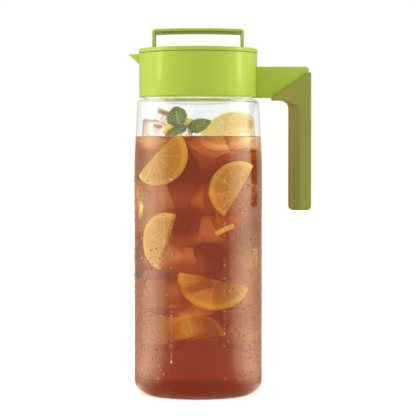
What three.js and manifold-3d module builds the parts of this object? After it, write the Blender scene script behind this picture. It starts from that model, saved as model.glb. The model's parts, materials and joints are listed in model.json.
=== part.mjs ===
// An iced tea maker: a clear two-quart jar, a collar with spout and square handle,
// a soft grip sleeve, and a plug lid that turns, seals in the neck and lifts out.
// Millimetres, +Z up. The origin is where the jar's axis meets the surface it stands on.
// The spout points along -X and the handle along +X.
import * as THREE from "three";
import { ConvexGeometry } from "three/addons/geometries/ConvexGeometry.js";
import { mergeVertices } from "three/addons/utils/BufferGeometryUtils.js";
import Module from "manifold-3d";

// Fits and smoothness
const seatGap = 0.3; // between a piece and what it rests on or slides in
const cutOverrun = 2; // how far a cut runs past the face that it opens
const turnSteps = 64;
const arcTolerance = 0.12; // furthest that an arc's facets stray from the true rounding

// Jar
const jarRadius = 53.4;
const jarWall = 2;
const jarFloor = 2.4;
const jarBaseRounding = 12.6;
const jarShoulderLedge = 5.5; // shoulder beyond the neck
const jarShoulderHeight = 246.3;
const jarShoulderRounding = 3;
const jarTaperLength = 50;
const jarTaperRounding = 400; // blends the straight side into the taper
const neckHeight = 19.7;
const neckRootRise = 0.4; // the shoulder climbs this much towards the neck
const neckRootRounding = 1;

// Collar
const collarRadius = 49.4;
const collarWall = 2.9;
const socketStep = 0.9; // collar's bore beyond the socket that holds the neck
const collarHeight = 36.6;
const neckShow = 2.2; // neck left bare under the collar
const collarEdgeRounding = 1.3;
const collarRimRounding = 0.5;
const collarGasketThickness = 1;
const ledgeThickness = 2.4;
const ledgeInset = 3.1; // how far the ledge stands in from the collar's bore

// Spout
const beakReach = 9.2; // tip beyond the collar
const beakDrop = 0.7; // beak's lip below the collar's rim
const beakDepth = 9.4;
const beakHalfWidth = 9;
const beakTipHalfWidth = 0.5;
const beakWall = 1.8;
const beakTipWall = 1.2;

// Handle core, moulded with the collar
const armTopDrop = 11.4; // arm's top face below the collar's rim
const armDepth = 25.3; // arm's height
const handleReach = 42.6; // handle's outer face beyond the collar
const tangWidth = 14.1; // upright's size away from the jar
const tangDrop = 91.9; // upright's end below the arm
const handleHalfThickness = 11;
const tangInnerHalfThickness = 5.5; // half width of the face that the fingers close on
const tangCrease = 7.3; // from that face to where the sides run straight
const handleCornerRounding = 2.5;
const handleEndRounding = 1;
const handleEdgeRounding = 0.5; // upright edges on the outer side
const handleInnerRounding = 8.9;
const ridgeSlopeShare = 0.47; // fall of the ridge where finger face and arm meet
const ridgeRun = 6; // from the ridge's start, under the arm, to the finger face

// Grip sleeve
const sleeveWall = 1.9;
const mouthRise = 21; // mouth's high end above the arm's underside
const mouthRun = 30.7; // slanted part of the mouth, inwards from the core's outer face

// Lid cap
const capOverhang = 0.2; // beyond the collar
const capThickness = 3.4;
const capEdgeRounding = 0.9;
const capRimWidth = 3;
const capDish = 0.8;
const capRibHeight = 2.9;
const capRibWidth = 1.5;
const capGasketThickness = 1.1;
const capGasketWidth = 1.6;

// Strap across the cap
const strapInset = 11.7; // strap's outer faces inwards from the cap's edge
const strapThickness = 2.2;
const strapDepth = 43;
const strapClearance = 14; // finger room over the dish, at the ends of the strap
const strapCrown = 0.8; // rise of the middle
const strapCornerRounding = 2.5;
const strapCrownSteps = 16;
const strapFootDepth = 26;
const strapFootBite = 1.8; // foot below the cap's underside
const strapBarb = 1;

// Plug under the cap
const plugWall = 2.2;
const flangeThickness = 2.5;
const drumClearance = 0.5; // between plug and neck bore
const plugBottomShare = 0.24; // how far up the neck the plug's end sits, as a share of the neck
const deckDrop = 5; // deck's upper face below the plug's top
const deckThickness = 2.2;
const sealHeight = 4;
const sealDrop = 1; // seal's top below the neck's rim
const sealGrooveDepth = 2;
const sealLipInset = 0.6;
const guardSlotCount = 24;
const guardSlotWidth = 5;
const guardSlotHeight = 6.5;

// Heights that follow from the sizes above
const neckTop = jarShoulderHeight + neckHeight;
const collarBottom = jarShoulderHeight + neckShow;
const collarTop = collarBottom + collarHeight;
const ledgeBottom = neckTop + seatGap + collarGasketThickness + seatGap;
const ledgeTop = ledgeBottom + ledgeThickness;
const capBottom = collarTop + seatGap;
const capTop = capBottom + capThickness;
const dishFloor = capTop - capDish;
const plugTop = capBottom - seatGap;
const flangeBottom = plugTop - flangeThickness;
const plugBottom = jarShoulderHeight + neckHeight * plugBottomShare;
const armTop = collarTop - armTopDrop;
const armBottom = armTop - armDepth;
const tangBottom = armBottom - tangDrop;

// Radii and reaches that follow from the sizes above
const collarBore = collarRadius - collarWall;
const neckRadius = collarBore - socketStep - seatGap;
const neckBore = neckRadius - jarWall;
const jarShoulderRadius = neckRadius + jarShoulderLedge;
const ledgeBore = collarBore - ledgeInset;
const capRadius = collarRadius + capOverhang;
const strapHalfSpan = capRadius - strapInset;
const plugFlangeRadius = collarBore - seatGap;
const plugRadius = neckBore - drumClearance;
const sealGrooveRadius = plugRadius - sealGrooveDepth;
const plugPocketRadius = plugFlangeRadius - plugWall;
const handleOuter = collarRadius + handleReach;
const tangInner = handleOuter - tangWidth;
const sleeveOffset = seatGap + sleeveWall;

const wasm = await Module();
wasm.setup();

// A closed geometry as a solid, with shared points merged and collapsed faces left out
function solidFrom(geometry) {
  geometry.deleteAttribute("normal");
  geometry.deleteAttribute("uv");
  const merged = mergeVertices(geometry);
  const index = merged.index.array;
  const faces = [];
  for (let i = 0; i < index.length; i += 3) {
    const face = Array.from(index.subarray(i, i + 3));
    if (new Set(face).size === 3) faces.push(...face);
  }
  return new wasm.Manifold(
    new wasm.Mesh({
      numProp: 3,
      vertProperties: merged.attributes.position.array,
      triVerts: new Uint32Array(faces),
    }),
  );
}

// Points along corners [across, up, radius]: each rounded corner becomes an arc
function roundedOutline(corners) {
  return corners.flatMap(([across, up, radius = 0], i) => {
    const corner = new THREE.Vector2(across, up);
    if (!radius) return [corner];
    const [before, after] = [corners.at(i - 1), corners[(i + 1) % corners.length]].map(
      ([x, y]) => new THREE.Vector2(x, y).sub(corner).normalize(),
    );
    const halfAngle = before.angleTo(after) / 2;
    const reach = radius / Math.tan(halfAngle);
    const centre = before.clone().add(after).setLength(radius / Math.sin(halfAngle)).add(corner);
    const start = before.clone().multiplyScalar(reach).add(corner).sub(centre);
    const end = after.clone().multiplyScalar(reach).add(corner).sub(centre);
    const sweep = Math.atan2(start.cross(end), start.dot(end));
    const facetAngle = 2 * Math.acos(1 - Math.min(arcTolerance / radius, 1 / 2));
    const steps = Math.ceil(Math.abs(sweep) / facetAngle);
    return Array.from({ length: steps + 1 }, (_, k) =>
      start.clone().rotateAround(new THREE.Vector2(), (sweep * k) / steps).add(centre),
    );
  });
}

// A closed anticlockwise outline moved outwards all round, its roundings with it
function grown(corners, distance) {
  return corners.map(([across, up, radius = 0], i) => {
    const corner = new THREE.Vector2(across, up);
    const [x0, y0] = corners.at(i - 1);
    const [x1, y1] = corners[(i + 1) % corners.length];
    const arriving = corner.clone().sub(new THREE.Vector2(x0, y0)).normalize();
    const leaving = new THREE.Vector2(x1, y1).sub(corner).normalize();
    const facing = new THREE.Vector2(arriving.y + leaving.y, -arriving.x - leaving.x);
    facing.multiplyScalar(distance / (1 + arriving.dot(leaving)));
    const solidCorner = Math.sign(arriving.cross(leaving));
    return [across + facing.x, up + facing.y, radius && radius + solidCorner * distance];
  });
}

// Turned about the jar's axis, from corners given anticlockwise as [radius, height, rounding]
function revolved(corners) {
  const points = roundedOutline(corners);
  if (corners[0][0] > 0) points.push(points[0].clone());
  return solidFrom(new THREE.LatheGeometry(points, turnSteps).rotateX(Math.PI / 2));
}

// A side outline, in x and z, carried across the object to both sides of its middle
function carriedAcross(corners, width) {
  const settings = { depth: width, bevelEnabled: false };
  const geometry = new THREE.ExtrudeGeometry(new THREE.Shape(roundedOutline(corners)), settings);
  return solidFrom(geometry.translate(0, 0, -width / 2).rotateX(Math.PI / 2));
}

// A plan outline, in x and y, standing between two heights
function standing(corners, low, high) {
  const settings = { depth: high - low, bevelEnabled: false };
  const geometry = new THREE.ExtrudeGeometry(new THREE.Shape(roundedOutline(corners)), settings);
  return solidFrom(geometry.translate(0, 0, low));
}

function hullOf(points) {
  return solidFrom(new ConvexGeometry(points.map((p) => new THREE.Vector3(...p))));
}

function rectangle(left, bottom, right, top) {
  return [
    [left, bottom],
    [right, bottom],
    [right, top],
    [left, top],
  ];
}

// Jar: rounded base, straight side, tapered top, flat shoulder and neck
function makeJar() {
  const taperStart = jarShoulderHeight - jarTaperLength;
  return revolved([
    [0, 0],
    [jarRadius, 0, jarBaseRounding],
    [jarRadius, taperStart, jarTaperRounding],
    [jarShoulderRadius, jarShoulderHeight, jarShoulderRounding],
    [neckRadius, jarShoulderHeight + neckRootRise, neckRootRounding],
    [neckRadius, neckTop, jarWall / 4],
    [neckBore, neckTop, jarWall / 4],
    [neckBore, jarShoulderHeight + neckRootRise - jarWall, jarWall],
    [jarShoulderRadius - jarWall, jarShoulderHeight - jarWall, jarWall / 2],
    [jarRadius - jarWall, taperStart, jarTaperRounding],
    [jarRadius - jarWall, jarFloor, jarBaseRounding - jarWall],
    [0, jarFloor],
  ]);
}

// Everything inside the collar: neck socket, ledge hole and pouring chamber
function makeCollarBore() {
  const socket = neckRadius + seatGap;
  return revolved([
    [0, collarBottom - cutOverrun],
    [socket, collarBottom - cutOverrun],
    [socket, ledgeBottom],
    [ledgeBore, ledgeBottom],
    [ledgeBore, ledgeTop],
    [collarBore, ledgeTop, ledgeThickness / 2],
    [collarBore, collarTop + cutOverrun],
    [0, collarTop + cutOverrun],
  ]);
}

// Beak: a V-shaped lip, hollowed by its own form moved in and up
function beakForm(inwards, upwards) {
  const root = -(collarRadius - collarWall / 2);
  const lip = collarTop - beakDrop + upwards;
  const tip = -(collarRadius + beakReach) + inwards;
  return hullOf([
    [tip, -beakTipHalfWidth, lip],
    [tip, beakTipHalfWidth, lip],
    [root + inwards, -beakHalfWidth, lip],
    [root + inwards, beakHalfWidth, lip],
    [root + inwards, 0, lip - beakDepth],
  ]);
}

// Window behind the beak, through the collar's wall, under the lid's flange
function makeSpoutWindow() {
  const sill = collarTop - beakDrop - beakDepth + beakWall * 1.5;
  const head = flangeBottom - seatGap;
  const halfWidth = ((head - sill) / beakDepth) * beakHalfWidth;
  const ends = [-(collarRadius + beakTipWall), -(ledgeBore - cutOverrun)];
  return hullOf(
    ends.flatMap((x) => [
      [x, 0, sill],
      [x, -halfWidth, head],
      [x, halfWidth, head],
    ]),
  );
}

// Arm and upright in one, grown outwards by an offset: the core, the sleeve's cavity and
// the sleeve's outside all come from this form
function handleForm(offset) {
  const side = [
    [0, armBottom],
    [tangInner, armBottom, handleInnerRounding],
    [tangInner, tangBottom, handleEndRounding],
    [handleOuter, tangBottom, handleEndRounding],
    [handleOuter, armTop, handleCornerRounding],
    [0, armTop],
  ];
  const plan = [
    [0, -handleHalfThickness],
    [handleOuter, -handleHalfThickness, handleEdgeRounding],
    [handleOuter, handleHalfThickness, handleEdgeRounding],
    [0, handleHalfThickness],
  ];
  const full = carriedAcross(grown(side, offset), 4 * handleHalfThickness).intersect(
    standing(grown(plan, offset), tangBottom - handleHalfThickness, collarTop),
  );
  const along = new THREE.Vector2(tangCrease, handleHalfThickness - tangInnerHalfThickness);
  const far = along.clone().setLength(tangWidth).add(along);
  const sideWedge = [
    [tangInner - ridgeRun, tangInnerHalfThickness],
    [tangInner, tangInnerHalfThickness],
    [tangInner + far.x, tangInnerHalfThickness + far.y],
    [tangInner - ridgeRun, tangInnerHalfThickness + far.y],
  ];
  const ridgeAt = (x) => armBottom - ridgeSlopeShare * (x - tangInner + ridgeRun);
  const underRidge = carriedAcross(
    grown(
      [
        [0, 0],
        [handleOuter, 0],
        [handleOuter, ridgeAt(handleOuter)],
        [0, ridgeAt(0)],
      ],
      -offset,
    ),
    4 * handleHalfThickness,
  );
  const sides = [1, -1].map((s) =>
    standing(
      grown(sideWedge, -offset).map(([x, y]) => [x, s * y]),
      0,
      armTop,
    ),
  );
  return sides.reduce((form, wedge) => form.subtract(wedge.intersect(underRidge)), full);
}

// Collar: outer ring, beak and handle core, bored out together
function makeCollar() {
  const outside = revolved([
    [0, collarBottom],
    [collarRadius, collarBottom, collarEdgeRounding],
    [collarRadius, collarTop, collarRimRounding],
    [0, collarTop],
  ]);
  const beak = beakForm(0, 0).subtract(beakForm(beakTipWall, beakWall));
  return outside
    .add(beak)
    .add(handleForm(0))
    .subtract(makeCollarBore())
    .subtract(makeSpoutWindow());
}

// Flat ring between the neck's rim and the collar's ledge
function makeCollarGasket() {
  const bottom = neckTop + seatGap;
  return revolved(rectangle(ledgeBore, bottom, neckRadius, bottom + collarGasketThickness));
}

// Grip sleeve: a sock over the upright, with a slanted mouth that wraps the corner and ends
// square to the wall at both ends
function makeGripSleeve() {
  const mouthLow = [handleOuter - mouthRun, armBottom];
  const mouthHigh = [handleOuter, armBottom + mouthRise];
  const left = mouthLow[0] - sleeveOffset;
  const right = mouthHigh[0] + sleeveOffset + cutOverrun;
  const bottom = mouthLow[1] - sleeveOffset - cutOverrun;
  const aboveMouth = carriedAcross(
    [
      [left, bottom],
      [mouthLow[0], bottom],
      mouthLow,
      mouthHigh,
      [right, mouthHigh[1]],
      [right, collarTop],
      [left, collarTop],
    ],
    4 * handleHalfThickness,
  );
  const sock = handleForm(sleeveOffset).subtract(handleForm(seatGap));
  return sock.trimByPlane([1, 0, 0], left).subtract(aboveMouth);
}

// Cap: a thin dished disc, with a rib that nests in the plug, a groove for its gasket
// and two slots for the strap's feet
function makeLidCap() {
  const ribOuter = plugPocketRadius - seatGap;
  const ribInner = ribOuter - capRibWidth;
  const grooveMiddle = (collarBore + collarRadius) / 2;
  const grooveInner = grooveMiddle - capGasketWidth / 2 - seatGap;
  const grooveOuter = grooveMiddle + capGasketWidth / 2 + seatGap;
  const grooveTop = capBottom + capGasketThickness + seatGap;
  const disc = revolved([
    [0, capBottom],
    [ribInner, capBottom],
    [ribInner, capBottom - capRibHeight],
    [ribOuter, capBottom - capRibHeight],
    [ribOuter, capBottom],
    [grooveInner, capBottom],
    [grooveInner, grooveTop],
    [grooveOuter, grooveTop],
    [grooveOuter, capBottom],
    [capRadius, capBottom],
    [capRadius, capTop, capEdgeRounding],
    [capRadius - capRimWidth, capTop, capDish / 2],
    [capRadius - capRimWidth - capDish, dishFloor, capDish / 2],
    [0, dishFloor],
  ]);
  const slotInner = strapHalfSpan - strapThickness - strapBarb - seatGap;
  const slotOuter = strapHalfSpan + seatGap;
  const slotHalfDepth = strapFootDepth / 2 + seatGap;
  return [1, -1].reduce((cap, s) => {
    const slot = rectangle(s * slotInner, -slotHalfDepth, s * slotOuter, slotHalfDepth);
    return cap.subtract(standing(slot, capBottom - cutOverrun, capTop + cutOverrun));
  }, disc);
}

// Ring in the cap's groove, over the collar's rim
function makeCapGasket() {
  const middle = (collarBore + collarRadius) / 2;
  const half = capGasketWidth / 2;
  return revolved(
    rectangle(middle - half, capBottom, middle + half, capBottom + capGasketThickness),
  );
}

// Strap: a thin crowned band on two legs, with barbed feet through the cap
function makeLidStrap() {
  const shoulder = dishFloor + seatGap;
  const underside = dishFloor + strapClearance;
  const inner = strapHalfSpan - strapThickness;
  const crown = (halfSpan, height) =>
    Array.from({ length: strapCrownSteps - 1 }, (_, k) => {
      const along = 1 - (2 * (k + 1)) / strapCrownSteps;
      return [along * halfSpan, height + strapCrown * (1 - along * along)];
    });
  const band = carriedAcross(
    [
      [strapHalfSpan, shoulder],
      [strapHalfSpan, underside + strapThickness, strapCornerRounding],
      ...crown(strapHalfSpan, underside + strapThickness),
      [-strapHalfSpan, underside + strapThickness, strapCornerRounding],
      [-strapHalfSpan, shoulder],
      [-inner, shoulder],
      [-inner, underside],
      ...crown(inner, underside).reverse(),
      [inner, underside],
      [inner, shoulder],
    ],
    strapDepth,
  );
  const footEnd = capBottom - strapFootBite;
  const catchHeight = capBottom - seatGap;
  return [1, -1].reduce((strap, s) => {
    const foot = [
      [s * strapHalfSpan, footEnd],
      [s * strapHalfSpan, shoulder + strapThickness],
      [s * inner, shoulder + strapThickness],
      [s * inner, catchHeight],
      [s * (inner - strapBarb), catchHeight],
      [s * inner, footEnd],
    ];
    return strap.add(carriedAcross(foot, strapFootDepth));
  }, band);
}

// Plug: flange in the collar, closed drum, seal groove, and a slotted ice guard below it
function makeLidPlug() {
  const deckTop = plugTop - deckDrop;
  const grooveTop = neckTop - sealDrop + seatGap;
  const grooveBottom = grooveTop - sealHeight - 2 * seatGap;
  const drumHollow = sealGrooveRadius - plugWall;
  const body = revolved([
    [0, deckTop - deckThickness],
    [drumHollow, deckTop - deckThickness],
    [drumHollow, plugBottom],
    [plugRadius, plugBottom],
    [plugRadius, grooveBottom],
    [sealGrooveRadius, grooveBottom],
    [sealGrooveRadius, grooveTop],
    [plugRadius, grooveTop],
    [plugRadius, deckTop - deckThickness, plugWall],
    [plugFlangeRadius, flangeBottom],
    [plugFlangeRadius, plugTop],
    [plugPocketRadius, plugTop],
    [plugPocketRadius, flangeBottom],
    [plugPocketRadius - deckDrop, deckTop],
    [0, deckTop],
  ]);
  const slot = rectangle(
    drumHollow - cutOverrun,
    -guardSlotWidth / 2,
    plugRadius + cutOverrun,
    guardSlotWidth / 2,
  );
  return Array.from({ length: guardSlotCount }, (_, k) => (k + 1 / 2) / guardSlotCount).reduce(
    (plug, turn) => {
      const angle = 2 * Math.PI * turn;
      const turned = slot.map(([x, y]) => [
        x * Math.cos(angle) - y * Math.sin(angle),
        x * Math.sin(angle) + y * Math.cos(angle),
      ]);
      return plug.subtract(standing(turned, plugBottom - cutOverrun, plugBottom + guardSlotHeight));
    },
    body,
  );
}

// Seal in the plug's groove: two lips that press on the neck's bore
function makeNeckSeal() {
  const top = neckTop - sealDrop;
  const bottom = top - sealHeight;
  const inner = sealGrooveRadius + seatGap;
  const outer = neckBore - seatGap;
  const lip = sealHeight / 4;
  return revolved([
    [inner, bottom],
    [outer - sealLipInset, bottom],
    [outer, bottom + lip],
    [outer - sealLipInset, bottom + 2 * lip],
    [outer, bottom + 3 * lip],
    [outer - sealLipInset, top],
    [inner, top],
  ]);
}

const finishes = {
  clearPlastic: { color: 0xe4ecea, roughness: 0.06, metalness: 0, transparent: true, opacity: 0.35 },
  greenPlastic: { color: 0xaec83e, roughness: 0.38, metalness: 0 },
  oliveRubber: { color: 0x8a8c3c, roughness: 0.62, metalness: 0 },
  clearRubber: { color: 0xd8dcd2, roughness: 0.5, metalness: 0 },
};

function piece(name, solid, finish) {
  const { vertProperties, triVerts } = solid.getMesh();
  const geometry = new THREE.BufferGeometry();
  geometry.setAttribute("position", new THREE.BufferAttribute(vertProperties, 3));
  geometry.setIndex(new THREE.BufferAttribute(triVerts, 1));
  geometry.computeVertexNormals();
  const mesh = new THREE.Mesh(geometry, new THREE.MeshStandardMaterial(finishes[finish]));
  mesh.name = name;
  return mesh;
}

const pitcher = new THREE.Group().add(
  piece("jar", makeJar(), "clearPlastic"),
  piece("collar", makeCollar(), "greenPlastic"),
  piece("collar_gasket", makeCollarGasket(), "clearRubber"),
  piece("grip_sleeve", makeGripSleeve(), "oliveRubber"),
);
const seals = new THREE.Group().add(
  piece("neck_seal", makeNeckSeal(), "clearRubber"),
  piece("cap_gasket", makeCapGasket(), "clearRubber"),
);
const lid = new THREE.Group().add(
  piece("lid_cap", makeLidCap(), "greenPlastic"),
  piece("lid_strap", makeLidStrap(), "greenPlastic"),
  piece("lid_plug", makeLidPlug(), "greenPlastic"),
);

const group = new THREE.Group().add(pitcher, seals, lid);
export default group;
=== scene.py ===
"""Iced tea maker: the finish of every piece, the tea and fruit inside, and a plain studio."""

import json
import math
import random

import bmesh
import bpy
from bpy.props import FloatProperty, FloatVectorProperty, IntProperty, PointerProperty
from mathutils import Matrix, Vector, noise

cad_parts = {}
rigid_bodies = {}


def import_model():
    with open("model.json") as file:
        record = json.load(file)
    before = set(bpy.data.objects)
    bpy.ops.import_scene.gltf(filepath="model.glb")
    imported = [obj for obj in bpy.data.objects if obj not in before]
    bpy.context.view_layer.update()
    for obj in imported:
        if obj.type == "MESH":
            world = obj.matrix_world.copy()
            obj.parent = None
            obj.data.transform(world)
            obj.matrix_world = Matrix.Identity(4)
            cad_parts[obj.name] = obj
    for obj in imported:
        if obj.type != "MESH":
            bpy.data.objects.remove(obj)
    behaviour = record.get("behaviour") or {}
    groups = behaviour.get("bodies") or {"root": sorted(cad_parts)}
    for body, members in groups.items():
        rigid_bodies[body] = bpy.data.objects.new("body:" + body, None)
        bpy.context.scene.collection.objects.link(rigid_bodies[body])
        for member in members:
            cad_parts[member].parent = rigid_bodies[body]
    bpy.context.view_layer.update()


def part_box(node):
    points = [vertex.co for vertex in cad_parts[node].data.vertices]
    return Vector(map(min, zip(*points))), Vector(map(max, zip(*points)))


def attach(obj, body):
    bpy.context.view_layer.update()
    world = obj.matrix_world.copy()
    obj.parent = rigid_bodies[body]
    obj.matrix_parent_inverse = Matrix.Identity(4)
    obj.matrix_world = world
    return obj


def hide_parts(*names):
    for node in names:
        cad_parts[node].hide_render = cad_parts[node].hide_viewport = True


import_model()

bl_info = {
    "name": "Iced Tea Maker",
    "version": (1, 0, 0),
    "blender": (4, 5, 0),
    "location": "3D View > Sidebar > Iced Tea",
    "description": "Dresses a clear pitcher with collar, grip, lid, tea, citrus and mint",
    "category": "Add Mesh",
}

MM = 0.001
TURN_STEPS = 192

JAR_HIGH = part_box("jar")[1]
COLLAR_LOW, COLLAR_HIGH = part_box("collar")
CAP_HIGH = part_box("lid_cap")[1]
STRAP_LOW, STRAP_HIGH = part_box("lid_strap")
PLUG_LOW, PLUG_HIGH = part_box("lid_plug")
NECK_SEAL_LOW, NECK_SEAL_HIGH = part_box("neck_seal")


def length(name, description, default):
    return FloatProperty(name=name, description=description, default=default, unit="LENGTH")


def share(name, description, default):
    return FloatProperty(name=name, description=description, default=default, subtype="FACTOR")


def colour(name, description, default):
    return FloatVectorProperty(
        name=name, description=description, default=default, size=3, min=0, max=1, subtype="COLOR"
    )


class PitcherSizes(bpy.types.PropertyGroup):
    """Walls, roundings and steps of the pitcher's own pieces"""

    jar_wall: length("Jar wall", "Thickness of the clear wall", 2 * MM)
    jar_floor: length("Jar floor", "Thickness of the jar's base", 2.4 * MM)
    base_rounding: length("Base rounding", "Outer rounding of the base", 12.6 * MM)
    shoulder_radius: length("Shoulder radius", "Jar radius under the shoulder", 50.8 * MM)
    shoulder_height: length("Shoulder height", "Height of the flat shoulder", 246.3 * MM)
    shoulder_rounding: length("Shoulder rounding", "Rounding at the shoulder", 3 * MM)
    taper_length: length("Taper", "Length of the tapered top", 50 * MM)
    taper_rounding: length("Taper blend", "Radius that blends side and taper", 400 * MM)
    neck_radius: length("Neck radius", "Outer radius of the neck", 45.3 * MM)
    collar_radius: length("Collar radius", "Outer radius of the collar", 49.4 * MM)
    collar_wall: length("Collar wall", "Thickness of the collar", 2.9 * MM)
    collar_low_rounding: length("Lower edge", "Rounding of the collar's lower edge", 1.3 * MM)
    collar_high_rounding: length("Upper edge", "Rounding of the collar's rim", 0.5 * MM)
    ledge_inset: length("Ledge", "Width of the ledge inside the collar", 3.1 * MM)
    ledge_thickness: length("Ledge thickness", "Thickness of that ledge", 2.4 * MM)
    beak_drop: length("Lip drop", "Beak's lip below the collar's rim", 0.7 * MM)
    beak_depth: length("Beak depth", "Depth of the beak at the collar", 9.4 * MM)
    beak_half_width: length("Beak half width", "Half width at the collar", 9 * MM)
    beak_wall: length("Beak wall", "Thickness of the beak's keel", 1.8 * MM)
    beak_tip_wall: length("Beak tip", "Thickness of the beak's tip", 1.2 * MM)
    arm_depth: length("Arm depth", "Height of the handle's arm", 25.3 * MM)
    arm_drop: length("Arm drop", "Arm's top below the collar's rim", 11.4 * MM)
    handle_thickness: length("Handle thickness", "Thickness of the handle core", 22 * MM)
    finger_face: length("Finger face", "Width of the face that fingers close on", 11 * MM)
    upright_width: length("Upright", "Size of the upright away from the jar", 14.1 * MM)
    crease: length("Crease", "From the finger face to where the sides run straight", 7.3 * MM)
    inner_rounding: length("Inner rounding", "Rounding between arm and upright", 8.9 * MM)
    sleeve_offset: length("Sleeve offset", "Sleeve's outside beyond the core", 2.2 * MM)
    fit_gap: length("Fit gap", "Gap between pieces that seat on each other", 0.3 * MM)
    ridge_run: length("Ridge run", "From the ridge's start to the finger face", 6 * MM)
    ridge_slope: share("Ridge slope", "Fall of the ridge under the arm", 0.47)
    mouth_rise: length("Mouth rise", "Mouth's high end above the arm's underside", 21 * MM)
    mouth_run: length("Mouth run", "Slanted part of the mouth", 30.7 * MM)
    cap_edge: length("Cap edge", "Rounding of the cap's edge", 0.9 * MM)
    cap_rim: length("Cap rim", "Width of the cap's rim", 3 * MM)
    cap_dish: length("Cap dish", "Depth of the dish inside the rim", 0.8 * MM)
    strap_thickness: length("Strap thickness", "Thickness of the strap", 2.2 * MM)
    strap_corner: length("Strap corner", "Outer rounding of the strap's corners", 2.5 * MM)
    strap_crown: length("Strap crown", "Rise of the strap's middle", 0.8 * MM)


class TeaSettings(bpy.types.PropertyGroup):
    """Tea, ice and condensation"""

    level: length("Tea level", "Height of the tea's surface", 215 * MM)
    tint: colour("Tea tint", "What the tea lets through", (0.806, 0.5, 0.225))
    strength: FloatProperty(name="Strength", description="Absorption per metre", default=80)
    overlap: length("Overlap", "How far the tea reaches into the wall", 0.1 * MM)
    meniscus: length("Meniscus", "Rise of the surface at the wall", 0.8 * MM)
    droplets: IntProperty(name="Droplets", description="Beads of condensation", default=2200)
    ice_size: length("Ice size", "Edge of an ice cube", 25 * MM)
    ice_rings: IntProperty(name="Ice rings", description="Rings of four cubes", default=6)
    ice_bottom: length("Ice bottom", "Height of the lowest ring", 56 * MM)
    ice_tint: colour("Ice tint", "Tea that has soaked into the ice", (1.0, 0.85, 0.62))
    ice_seed: IntProperty(name="Ice seed", description="Changes how the cubes lie", default=4)


class FruitSizes(bpy.types.PropertyGroup):
    """Slices and leaves"""

    slice_radius: length("Slice radius", "Radius of a citrus slice", 26 * MM)
    slice_thickness: length("Slice thickness", "Thickness of a citrus slice", 4.5 * MM)
    mint_scale: FloatProperty(name="Mint scale", description="Size of the sprig", default=1)
    flesh: colour("Flesh", "Citrus flesh", (0.95, 0.68, 0.12))
    rind: colour("Rind", "Citrus rind", (1.0, 0.92, 0.12))
    pith: colour("Pith", "Pith and the skins between segments", (1.0, 0.95, 0.2))
    mint: colour("Mint", "Mint leaves", (0.30, 0.35, 0.04))


class FinishColours(bpy.types.PropertyGroup):
    """Colours of the pitcher's materials"""

    green: colour("Green", "Collar, lid and strap", (0.445, 0.565, 0.066))
    olive: colour("Olive", "Grip sleeve", (0.30, 0.315, 0.05))
    # Painted reflection: the grip's olive on the jar's side, tinted warm as if it mirrored the
    # orange tea
    olive_tea_reflection: colour("Olive inside", "Grip sleeve on the jar's side", (0.35, 0.316, 0.049))
    clear: colour("Clear", "Jar", (0.97, 0.985, 0.98))
    rubber: colour("Seal rubber", "Seals and gaskets", (0.75, 0.77, 0.73))


class StudioSettings(bpy.types.PropertyGroup):
    """Camera, lights and floor"""

    distance: length("Distance", "Camera to the jar's axis", 1523 * MM)
    across: length("Across", "Camera to the right of the axis", 8.2 * MM)
    height: length("Height", "Camera above the floor", 196.7 * MM)
    tilt: FloatProperty(
        name="Tilt", description="Camera's tilt down", default=math.radians(1.534), subtype="ANGLE"
    )
    lens: FloatProperty(name="Lens", description="Focal length in millimetres", default=157.1)
    light_distance: length("Light distance", "Softboxes to the axis", 1.8)
    light_height: length("Light height", "Height of the softboxes", 1.5)
    key_radiance: FloatProperty(name="Key", description="Brightness of the keys", default=9.6)
    key_width: length("Key width", "Width of the keys", 0.32)
    key_foot: length("Key foot", "Height of the keys' lower ends", 0.31)
    fill_radiance: FloatProperty(name="Fill", description="Brightness of the fills", default=0.85)
    fill_width: length("Fill width", "Width of the fills", 1.5)
    lamp_tint: colour("Lamp tint", "Colour of the softboxes", (1.0, 0.97, 0.86))
    room: FloatProperty(name="Room", description="Brightest part of the mirrored room", default=4.4)
    room_tint: colour("Room tint", "Colour of the mirrored room", (1.0, 0.91, 0.62))
    sky: FloatProperty(name="Sky", description="Even light from all round", default=0.74)
    floor_glow: FloatProperty(name="Floor glow", description="Whitens the floor", default=0.45)


# Mesh helpers


def place_facing(centre, turn, bank, lean):
    """A matrix for a piece made in the X-Z plane: leant back, banked clockwise, then turned"""
    matrix = Matrix.Translation(Vector(centre) * MM)
    for degrees, axis in ((turn, "Z"), (bank, "Y"), (lean, "X")):
        matrix = matrix @ Matrix.Rotation(math.radians(degrees), 4, axis)
    return matrix


def bevelled_wire(bm, corners, closed=False):
    """A wire in the X-Z plane through corners (across, up, rounding, segments)"""
    points = [Vector((c[0], 0, c[1])) for c in corners]
    verts = [bm.verts.new(p) for p in points]
    for pair in zip(verts, verts[1:] + verts[:1] if closed else verts[1:]):
        bm.edges.new(pair)
    for i, corner in enumerate(corners):
        if len(corner) < 4:
            continue
        before = (points[i - 1] - points[i]).normalized()
        after = (points[(i + 1) % len(points)] - points[i]).normalized()
        bmesh.ops.bevel(
            bm,
            geom=[verts[i]],
            offset=corner[2] / math.tan(before.angle(after) / 2),
            offset_type="OFFSET",
            segments=corner[3],
            profile=0.5,
            affect="VERTICES",
            material=-1,
        )


def spin(bm, axis, angle, steps, closed):
    """Spins all of a wire about an axis through the origin"""
    bmesh.ops.spin(
        bm,
        geom=bm.verts[:] + bm.edges[:],
        cent=(0, 0, 0),
        axis=axis,
        dvec=(0, 0, 0),
        angle=angle,
        steps=steps,
        use_merge=closed,
        use_duplicate=False,
    )
    bmesh.ops.remove_doubles(bm, verts=bm.verts, dist=0.001 * MM)


def move_made(bm, made, vec):
    """Moves the points that an extrusion made"""
    verts = [g for g in made["geom"] if isinstance(g, bmesh.types.BMVert)]
    bmesh.ops.translate(bm, verts=verts, vec=vec)


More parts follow.
